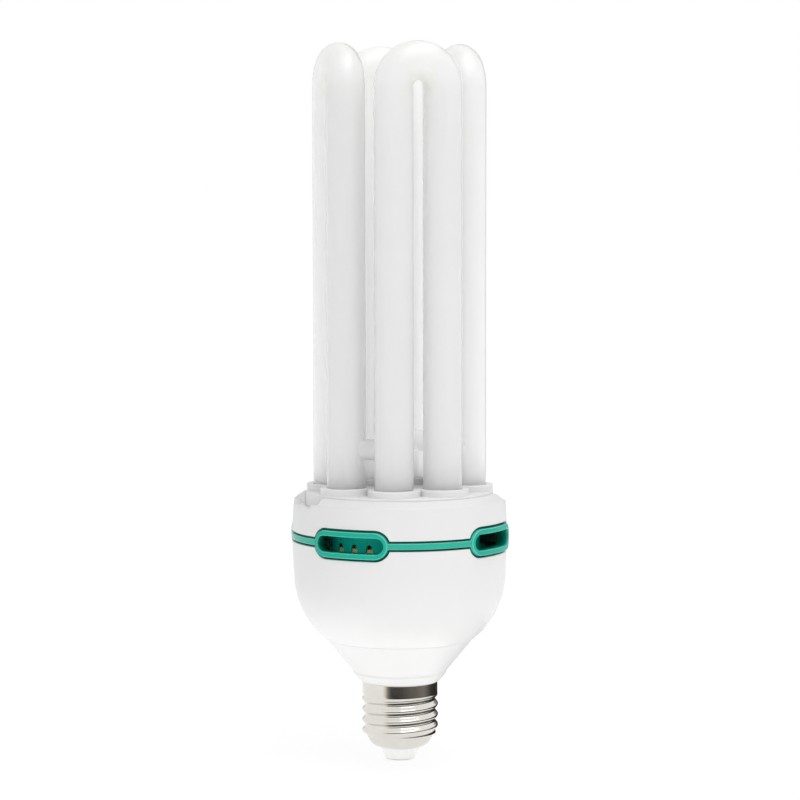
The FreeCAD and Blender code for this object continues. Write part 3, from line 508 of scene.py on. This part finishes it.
def bead_frame(middle):
    """Strip and bead swept round a window: each point of the profile has its own oblong, and its depth is
    the radius from the lamp's axis, so the frame is curved as the housing is."""
    across, height = oblong(bead_width, bead_height)
    out = np.sqrt(bead_depth ** 2 - across ** 2)
    turn = math.radians(middle)
    x = out * math.cos(turn) - across * math.sin(turn)
    y = out * math.sin(turn) + across * math.cos(turn)
    return woven(np.stack((x, y, height), axis=-1), closed_rows=True)


def with_ends(row):
    """A row with its first and last value repeated, for ends that are drawn in."""
    return np.concatenate((row[:1], row, row[-1:]))


def capped(profile, first, last, number):
    """A closed profile swept through an angle, with each end drawn in to the profile's middle."""
    sweep = with_ends(np.radians(np.linspace(first, last, number)))
    share = np.ones(len(sweep))
    share[[0, -1]] = 0
    middle = profile.mean(axis=0, keepdims=True)
    grid = turned(middle + (profile - middle) * share[None, :, None], sweep)
    return woven(grid, closed_rows=True, closed_columns=False)


def level_row(radius, height, number):
    """Row of points at one radius, each at its own height or all at the same one."""
    return np.stack((np.full(number, radius), height + np.zeros(number)), axis=-1)


band_low = band_middle - band_half
band_high = band_middle + band_half
band_profile = eased(
    [(ring_bore, band_low), (strip_radius, band_low), (strip_radius, band_low + strip_width),
     (band_face, band_low + strip_width), (band_face, band_high - strip_width),
     (strip_radius, band_high - strip_width), (strip_radius, band_high), (ring_bore, band_high)],
    [0.1, 0.1, 0.1, 0.45, 0.45, 0.1, 0.1, 0.1], steps=7,
)
slot_places = (np.arange(slot_number) - (slot_number - 1) / 2) * slot_pitch
slot_side = np.array((1.0, 1.35, 1.7, 1.75))
slot_across = np.concatenate((-slot_side[::-1], -np.cos(np.linspace(0, np.pi, 13))[1:-1], slot_side))
slot_arch = arch_height + np.sqrt(np.maximum(1 - slot_across ** 2, 0))
slot_flank = np.clip(slot_knee - (np.abs(slot_across) - 1) / 0.7, slot_floor, slot_knee)
slot_edge = np.where(np.abs(slot_across) <= 1, slot_arch, slot_flank)
slot_edge[[0, -1]] = sleeve_foot
slot_angle = np.degrees(np.arcsin((slot_places[:, None] + slot_across[None, :]) / sleeve_outer))
quarter_angle = np.concatenate((slot_angle.reshape(-1), [40, 45, 50]))
quarter_edge = np.concatenate((np.tile(slot_edge, slot_number), np.full(3, sleeve_foot)))
sleeve_angle = np.radians((quarter_angle[None, :] + window_middles[:, None]).reshape(-1))
sleeve_edge = np.tile(quarter_edge, len(window_middles))
around = len(sleeve_edge)
sleeve_rows = np.stack([
    level_row(sleeve_outer, sleeve_top, around),
    level_row(sleeve_outer, sleeve_edge + 0.1, around),
    level_row(sleeve_outer - 0.1, sleeve_edge, around),
    level_row(sleeve_inner, sleeve_edge, around),
    level_row(sleeve_inner, sleeve_top, around),
])


def channel_wall(bore, far, near, edge):
    """Floor or ceiling of the channel, with the outer wall from it to an edge behind the frames."""
    corners = ((bore, far), (channel_radius, far), (channel_radius, edge), (ring_bore, edge),
               (ring_bore, near), (bore, near))
    rows = np.stack([level_row(radius, height, columns) for radius, height in corners])
    return woven(walled(eased(rows, [0.1, 0.2, 0.1, 0.1, 0.3, 0.1])), closed_rows=True)


vent_ring = new_piece(
    "green_vent_ring",
    *[bead_frame(middle) for middle in window_middles],
    *[capped(band_profile, middle + band_start, middle + 90 - band_start, 40) for middle in window_middles],
    woven(turned(sleeve_rows, sleeve_angle), closed_rows=True),
    channel_wall(ledge_bore, ring_foot, slot_floor, band_middle - rim_cut + edge_lap),
    channel_wall(sleeve_inner, ring_top, channel_top, band_middle + rim_cut - edge_lap),
)

green, place = new_finish("green_moulding")
swirl = grain(place, 90, detail=3.0)
skin = grain(place, 2400)
from_axis = place.node("ShaderNodeVectorMath", {"operation": "MULTIPLY"}, {0: place, 1: (1, 1, 0)})
radius = 1000 * place.node("ShaderNodeVectorMath", {"operation": "LENGTH"}, {0: from_axis}, output="Value")


def edge_of(face):
    """1 on the round edge just inside a face of that radius, and 0 on the face and further in."""
    return between(radius, face - 0.4, face - 0.2) * between(radius, face - 0.12, face - 0.02, 1.0, 0.0)


# Painted highlight: the round edges of the frames and the band are lightened in colour.
edge_highlight_paint = edge_of(frame_face) + edge_of(band_face)
outside = between(radius, 35.2, 36.2) * between(radius, 37.45, 37.58, 1.0, 0.3)
# Painted shade: the walls inside the windows are darkened in colour, deepest further in.
window_shade_paint = between(radius, 28.5, 30.0) * between(radius, 34.5, 37.3, 0.8, 0.0)
# Painted light: the inner wall behind the slots is lightened in colour to stand in for light that reaches
# it.
sleeve_light_paint = between(radius, 27.5, 28.5, 0.9, 0.0)
green_colour = mixed(swirl, (0.003, 0.46, 0.33, 1), (0.002, 0.41, 0.29, 1))
green_colour = mixed(window_shade_paint, green_colour, (0.001, 0.06, 0.04, 1))
green_colour = mixed(sleeve_light_paint, green_colour, (0.004, 0.78, 0.62, 1))
close_finish(place, {
    "Base Color": mixed(edge_highlight_paint * 0.9, green_colour, (0.19, 0.62, 0.53, 1)),
    "Roughness": 0.45 + 0.15 * skin,
    "Specular IOR Level": 0.1,
    "Coat Weight": 0.8 * outside,
    "Coat Roughness": 0.2,
    "Normal": relief(skin, 0.012, 0.4),
})
dress(vent_ring, green, "vent_ring")


# Ballast
# A round paper-laminate board on the vent ring's ledge, with its components hanging under it. Its tan edge
# shows in the slots. These are the CAD solids as they are, in the finishes that such components have.
def coat(name, first, second, scale, rough, stretch=(1, 1, 1), metal=0.0, depth=0.02):
    """Finish of two colours mixed by grain, which also gives the gloss and a shallow relief."""
    material, place = new_finish(name)
    pattern = grain(place, scale, detail=3.0, stretch=stretch)
    close_finish(place, {
        "Base Color": mixed(between(pattern, 0.3, 0.7), (*first, 1), (*second, 1)),
        "Roughness": rough + 0.2 * pattern,
        "Metallic": metal,
        "Normal": relief(pattern, depth, 0.5),
    })
    return material


laminate = coat("paper_laminate", (0.93, 0.87, 0.42), (0.86, 0.79, 0.36), 700, 0.45, (1, 1, 4))
sleeve_film = coat("capacitor_sleeve_film", (0.02, 0.03, 0.05), (0.03, 0.04, 0.07), 300, 0.2)
ferrite = coat("sintered_ferrite", (0.045, 0.045, 0.05), (0.07, 0.068, 0.07), 2200, 0.5)
black_moulding = coat("black_moulding", (0.02, 0.02, 0.022), (0.035, 0.035, 0.036), 1800, 0.4)
copper = coat(
    "enamelled_copper", (0.62, 0.27, 0.11), (0.42, 0.16, 0.06), 1900, 0.22, (0.05, 0.05, 1), 1.0, 0.1,
)
lacquer = coat("dipped_lacquer", (0.36, 0.09, 0.04), (0.27, 0.06, 0.03), 240, 0.15)
cement = coat("cement_coat", (0.37, 0.42, 0.43), (0.30, 0.35, 0.36), 1500, 0.55)
tinned = coat("tinned_wire", (0.66, 0.66, 0.64), (0.52, 0.52, 0.50), 1300, 0.2, (1, 1, 0.2), 1.0)
insulation = coat("wire_insulation", (0.82, 0.82, 0.80), (0.75, 0.75, 0.72), 500, 0.25)
ballast_finishes = {
    "ballast_board": laminate,
    "bulk_capacitor": sleeve_film,
    "choke_core": ferrite,
    "choke_bobbin": black_moulding,
    "choke_winding": copper,
    "drive_toroid": ferrite,
    "power_transistors": black_moulding,
    "film_capacitor": lacquer,
    "coupling_capacitor": lacquer,
    "rectifier_diodes": black_moulding,
    "filter_coil": ferrite,
    "fuse_resistor": cement,
    "wrap_pins": tinned,
    "tube_leads": tinned,
    "cap_leads": insulation,
}
for node, material in ballast_finishes.items():
    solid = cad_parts[node]
    solid.data.materials.clear()
    solid.data.materials.append(material)


# Upper shell
# The white moulded ring over the vents. It has the same draft as the bowl, a bevelled top that the plate
# drops into, and two notches in its rim where a tool can lift the plate.
crown_foot = flank_radius + flank_draft
crown_bore = 35.1
crown_top = 92.45
shoulder_radius = 36.4
shoulder_height = 90.35
bevel_radius = 33.18
seat_radius = 32.18
seat_bore = 30.04
seat_height = 84.8
notch_floor = 88.35
notch_half = 11.6
notch_lean = 2.1
notch_turn = math.radians(-2.4)
high_rim = band_middle + rim_cut


def notched(radius, height):
    """Row at a radius and a height, cut down where a notch is: to the notch's floor over its middle, and by
    a straight slope up to the top beside that."""
    angle = round_windows(radius * np.ones((1, columns)))[0] - notch_turn
    across = np.abs(radius * np.sin(angle))
    slope = (crown_top - notch_floor) / notch_lean
    floor = np.clip(notch_floor + (across - notch_half) * slope, notch_floor, crown_top)
    cut = np.where(np.cos(angle) ** 2 > 0.25, floor, crown_top)
    return level_row(radius, np.minimum(height, cut), columns)


crown_rows = eased(np.stack([
    level_row(crown_foot, high_rim, columns),
    notched(shoulder_radius, shoulder_height),
    notched(bevel_radius, crown_top),
    notched(seat_radius, crown_top),
    level_row(seat_radius, seat_height, columns),
    level_row(seat_bore, seat_height, columns),
    level_row(seat_bore, ring_top, columns),
    level_row(crown_bore, np.maximum(ring_top, high_rim + 0.1), columns),
    level_row(crown_bore, high_rim, columns),
]), [0.3, 0.5, 0.35, 0.2, 0.1, 0.2, 0.2, 0.1, 0.1])
upper_shell = new_piece("upper_crown", woven(walled(crown_rows), closed_rows=True))
dress(upper_shell, satin_white, "upper_shell")


# Burner plate
# A white moulded cup that closes the housing, with a low round collar for each of the eight tube legs.
# The legs are cemented into the collars, and its edge stands a little above the upper shell.
plate_radius = seat_radius - 0.1
plate_bore = seat_bore + 0.1
plate_low = 91.25
plate_top = 93.25
plate_bevel = 0.4
collar_bore = 6.75
collar_radius = 8.9
collar_top = 95.45
leg_offset = 8.525
u_offset = 21.4
u_turns = np.radians((0, 90, 180, 270))
plate_profile = eased(
    [(0, plate_low), (plate_bore, plate_low), (plate_bore, seat_height), (plate_radius, seat_height),
     (plate_radius, plate_top - plate_bevel), (plate_radius - plate_bevel, plate_top), (0, plate_top)],
    [0, 0.3, 0.1, 0.1, 0.25, 0.3, 0],
)
collar_profile = eased(
    [(collar_bore, plate_low), (collar_radius, plate_low), (collar_radius, collar_top),
     (collar_bore, collar_top)],
    [0.1, 0.1, 0.4, 0.3], steps=7,
)
leg_places = [
    (math.cos(turn) * u_offset - math.sin(turn) * side * leg_offset,
     math.sin(turn) * u_offset + math.cos(turn) * side * leg_offset)
    for turn in u_turns for side in (-1, 1)
]
collar = turned(collar_profile, np.linspace(0, 2 * np.pi, 72, endpoint=False))
burner_plate = new_piece(
    "collared_plate",
    woven(turned(plate_profile, many_round)),
    *[woven(collar + np.array((x, y, 0)), closed_rows=True) for x, y in leg_places],
)
dress(burner_plate, satin_white, "burner_plate")


# Glass burner
# Four tubes of clear glass, each bent hot to a U and coated white inside, joined in a row by three bridges
# fused between neighbouring legs. The tops of the bends are darkened in colour as painted shade and have
# less gloss, and the inside of each bend is slightly cream where its coat is missing.
tube_radius = 6.6
leg_foot = 84.55
bend_height = 230.03
bridge_radius = 3.6
bridge_flare = 0.45
bridge_height = 108.55
bridge_inset = 1.0
bridge_out = (u_offset + leg_offset) / math.sqrt(2) - bridge_inset
bridge_half = (u_offset - leg_offset) / math.sqrt(2)
tube_around = np.linspace(0, 2 * np.pi, 72, endpoint=False)


def u_tube(turn):
    """Tube along a U: the path's point and outward normal lie in the U's plane, and the circle is spread by
    its cosine along that normal and by its sine across the plane. Both ends are drawn in to a point."""
    leg = np.linspace(leg_foot, bend_height, 14)
    sweep = np.linspace(0, np.pi, 49)[1:-1]
    tilt = with_ends(np.concatenate((0 * leg, sweep, 0 * leg + np.pi)))
    along = leg_offset * np.cos(tilt)
    height = with_ends(np.concatenate((leg, bend_height + leg_offset * np.sin(sweep), leg[::-1])))
    radius = np.full(len(tilt), tube_radius)
    radius[[0, -1]] = 0
    circle = radius[:, None] * np.cos(tube_around)
    lateral = along[:, None] + circle * np.cos(tilt)[:, None]
    upward = height[:, None] + circle * np.sin(tilt)[:, None]
    outward = u_offset + radius[:, None] * np.sin(tube_around)
    x = outward * np.cos(turn) - lateral * np.sin(turn)
    y = outward * np.sin(turn) + lateral * np.cos(turn)
    return woven(np.stack((x, y, upward), axis=-1))


def fused_bridge(turn):
    """Short tube across a diagonal between two legs, whose radius grows by a square towards the legs."""
    across = with_ends(np.linspace(-bridge_half, bridge_half, 31))
    radius = bridge_radius + bridge_flare * np.clip((np.abs(across) - 1.0) / 2.2, 0, 1) ** 2
    radius[[0, -1]] = 0
    ring = np.linspace(0, 2 * np.pi, 40, endpoint=False)
    outward = bridge_out + radius[:, None] * np.cos(ring)
    upward = bridge_height + radius[:, None] * np.sin(ring)
    lateral = across[:, None] + 0 * ring
    x = outward * np.cos(turn) - lateral * np.sin(turn)
    y = outward * np.sin(turn) + lateral * np.cos(turn)
    return woven(np.stack((x, y, upward), axis=-1))


burner = new_piece("coated_burner", *[u_tube(turn) for turn in u_turns])
bridges = new_piece("bridges", *[fused_bridge(turn) for turn in np.radians((-135, -45, 45))])
fusing = burner.modifiers.new("fused", "BOOLEAN")
fusing.operation = "UNION"
fusing.solver = "EXACT"
fusing.object = bridges
burner.modifiers.move(1, 0)
whole = burner.evaluated_get(bpy.context.evaluated_depsgraph_get())
fused_mesh = bpy.data.meshes.new_from_object(whole)
burner.modifiers.clear()
burner.data = fused_mesh
bpy.data.objects.remove(bridges)

coated_glass, place = new_finish("coated_glass")
cloud = grain(place, 60, detail=3.0, stretch=(1, 1, 0.35))
height = 1000 * place.node("ShaderNodeSeparateXYZ", {}, {"Vector": place}, output="Z")
off_x = 1000 * place.node("ShaderNodeSeparateXYZ", {}, {"Vector": place}, output="X")
off_y = 1000 * place.node("ShaderNodeSeparateXYZ", {}, {"Vector": place}, output="Y")
off_x = place.maths("ABSOLUTE", off_x, 0)
off_y = place.maths("ABSOLUTE", off_y, 0)
off_middle = place.maths("MINIMUM", off_x, off_y)
# Painted shade: the tops of the bends are darkened in colour.
bend_top_shade_paint = between(height, 231, 245)
inner_bend = between(off_middle, 3, 6, 1.0, 0.0) * between(height, 233, 238, 1.0, 0.0)
inner_bend = inner_bend * between(height, 225, 230)
coat_colour = mixed(cloud, (0.955, 0.957, 0.95, 1), (0.935, 0.937, 0.93, 1))
coat_colour = mixed(bend_top_shade_paint, coat_colour, (0.70, 0.695, 0.68, 1))
coat_colour = mixed(inner_bend * 0.8, coat_colour, (0.88, 0.86, 0.73, 1))
close_finish(place, {
    "Base Color": coat_colour,
    "Roughness": 0.35 + 0.15 * cloud,
    "Subsurface Weight": 1.0,
    "Subsurface Radius": (1, 1, 1),
    "Subsurface Scale": 0.06,
    "Coat Weight": between(height, 229, 243, 1.0, 0.45),
    "Coat Roughness": 0.03,
    "Coat IOR": 1.5,
    "Normal": relief(cloud, 0.05, 0.2),
})
dress(burner, coated_glass, "glass_burner")


# Studio
# A pale floor and a white surround, six soft boxes, and the camera of the photograph. Two cards that only
# mirrors see give the metal and the glass something dark to reflect: one stands close round the cap, and
# the other far behind the lamp.
def new_stage(name, points, material, closed_columns=False):
    """A stage object from a grid of points in metres."""
    piece = new_piece(name, woven(points * 1000, closed_columns=closed_columns))
    piece.data.materials.append(material)
    return piece


floor_paint, place = new_finish("floor_paint")
paper = grain(place, 30)
lit = place.node("ShaderNodeBsdfDiffuse", {}, {
    "Color": mixed(paper, (0.93, 0.93, 0.93, 1), (0.90, 0.90, 0.90, 1)),
})
glow = place.node("ShaderNodeEmission", {}, {"Color": (1, 1, 1, 1), "Strength": 1.03})
distance = place.node("ShaderNodeVectorMath", {"operation": "LENGTH"}, {0: place}, output="Value")
fade = between(distance, 0.08, 0.4, 0.85, 1.0)
ray = place.node("ShaderNodeLightPath", output="Is Camera Ray")
gloss_ray = place.node("ShaderNodeLightPath", output="Is Glossy Ray")
through_ray = place.node("ShaderNodeLightPath", output="Is Transmission Ray")
seen = ray + gloss_ray + through_ray
surface = place.node("ShaderNodeMixShader", {}, {0: seen * fade, 1: lit, 2: glow})
place.node("ShaderNodeOutputMaterial", {}, {"Surface": surface})
floor_radius = np.array((0.0, 0.2, 0.6, 1.5, 4.0, 12.0, 40.0))[:, None]
floor_points = np.stack((floor_radius * np.cos(many_round), floor_radius * np.sin(many_round),
                         0 * floor_radius * many_round), axis=-1)
new_stage("floor", floor_points, floor_paint, closed_columns=True)


def mirror_card(name, points, tones, colour):
    """A card that only mirrors see. Its glow at each point is the colour times the tone there."""
    paint, place = new_finish(name)
    tone = place.node("ShaderNodeAttribute", {"attribute_name": "tone"}, output="Fac")
    shade = mixed(tone, (0, 0, 0, 1), (*colour, 1))
    shade = mixed(grain(place, 8) * 0.15, shade, (0, 0, 0, 1))
    glow = place.node("ShaderNodeEmission", {}, {"Color": shade, "Strength": 1.0})
    place.node("ShaderNodeOutputMaterial", {}, {"Surface": glow})
    card = new_stage(name, points, paint)
    card.data.attributes.new("tone", "FLOAT", "POINT").data.foreach_set("value", tones.ravel())
    card.visible_camera = False
    card.visible_diffuse = False
    card.visible_transmission = False
    card.visible_shadow = False


def standing(reach, rise, turn):
    """Points at a reach from the axis and a height, one row for each pair, turned about the axis."""
    reach, rise = np.array(reach)[:, None], np.array(rise)[:, None]
    return np.stack((reach * np.cos(turn), reach * np.sin(turn), rise + 0 * turn), axis=-1)


towards_camera = math.radians(-107.06)
card_swing = np.linspace(-46, 178, 113)
card_tone = np.interp(
    card_swing,
    (-46, -40, -34, -28, -18, 0, 30, 72, 85, 105, 178),
    (1.0, 0.70, 0.22, 0.07, 0.03, 0.05, 0.12, 0.21, 0.12, 0.03, 0.03),
)
mirror_card(
    "dark_card",
    standing((0.036, 0.062, 0.066), (0.001, 0.001, 0.025), towards_camera + np.radians(card_swing)),
    np.tile(card_tone, (3, 1)),
    (1.0, 0.93, 0.83),
)
flag_swing = np.linspace(-30, 42, 73)
flag_tone = np.interp(flag_swing, (-30, -20, -4, 4, 10, 34, 42), (1.0, 0.75, 0.75, 0.3, 0.22, 0.3, 1.0))
mirror_card(
    "side_flag",
    standing((1.0, 1.0, 1.0), (0.0, 0.4, 0.9), towards_camera + math.pi - np.radians(flag_swing)),
    np.tile(flag_tone, (3, 1)),
    (1.0, 1.0, 0.98),
)

world = bpy.data.worlds.new("white_surround")
bpy.context.scene.world = world
world.use_nodes = True
world.node_tree.nodes.clear()
sky = Shade(world.node_tree)
ray = sky.node("ShaderNodeLightPath", output="Is Camera Ray")
gloss_ray = sky.node("ShaderNodeLightPath", output="Is Glossy Ray")
through_ray = sky.node("ShaderNodeLightPath", output="Is Transmission Ray")
seen = between(ray + gloss_ray + through_ray, 0.0, 1.0)
white = sky.node("ShaderNodeBackground", {}, {"Color": (1, 1, 1, 1), "Strength": 1.0})
dim = sky.node("ShaderNodeBackground", {}, {"Color": (1, 1, 1, 1), "Strength": 0.55})
both = sky.node("ShaderNodeMixShader", {}, {0: seen, 1: dim, 2: white})
sky.node("ShaderNodeOutputWorld", {}, {"Surface": both})


def soft_box(name, spot, aim, width, height, power, mirrored=False):
    """A rectangular lamp at a spot, facing the aim, that glossy surfaces mirror only if asked to."""
    light = bpy.data.lights.new(name, "AREA")
    light.shape = "RECTANGLE"
    light.size = width
    light.size_y = height
    light.energy = power
    lamp = bpy.data.objects.new(name, light)
    lamp.location = spot
    away = np.subtract(spot, aim)
    tilt = math.acos(away[2] / np.linalg.norm(away))
    lamp.rotation_euler = (tilt, 0, math.atan2(away[1], away[0]) + math.pi / 2)
    lamp.visible_camera = False
    lamp.visible_glossy = mirrored
    bpy.context.scene.collection.objects.link(lamp)


soft_box("left_box", (-0.95, -0.8, 0.28), (0, 0, 0.12), 0.5, 0.8, 1.3)
soft_box("right_box", (1.1, -0.7, 0.3), (0, 0, 0.12), 0.6, 1.2, 0.35)
soft_box("back_box", (0.35, 1.15, 0.35), (0, 0, 0.15), 1.4, 1.2, 9.0)
soft_box("top_box", (0.15, -0.3, 1.25), (0, 0, 0.1), 1.0, 0.8, 5.5, mirrored=True)
soft_box("front_box", (0.15, -0.78, 0.92), (0, 0, 0.03), 0.8, 0.4, 1.1, mirrored=True)
soft_box("table_box", (0.08, -0.02, 0.0001), (0.08, -0.02, 1), 0.5, 0.5, 0.34)

eye = bpy.data.cameras.new("photo_camera")
eye.lens = 129.94
eye.sensor_width = 36.0
camera = bpy.data.objects.new("photo_camera", eye)
camera.location = (-0.289, -0.9415, 0.1956)
camera.rotation_euler = (math.radians(85.84), math.radians(0.08), math.radians(-17.08))
bpy.context.scene.collection.objects.link(camera)
bpy.context.scene.camera = camera
bpy.context.scene.view_settings.view_transform = "Standard"
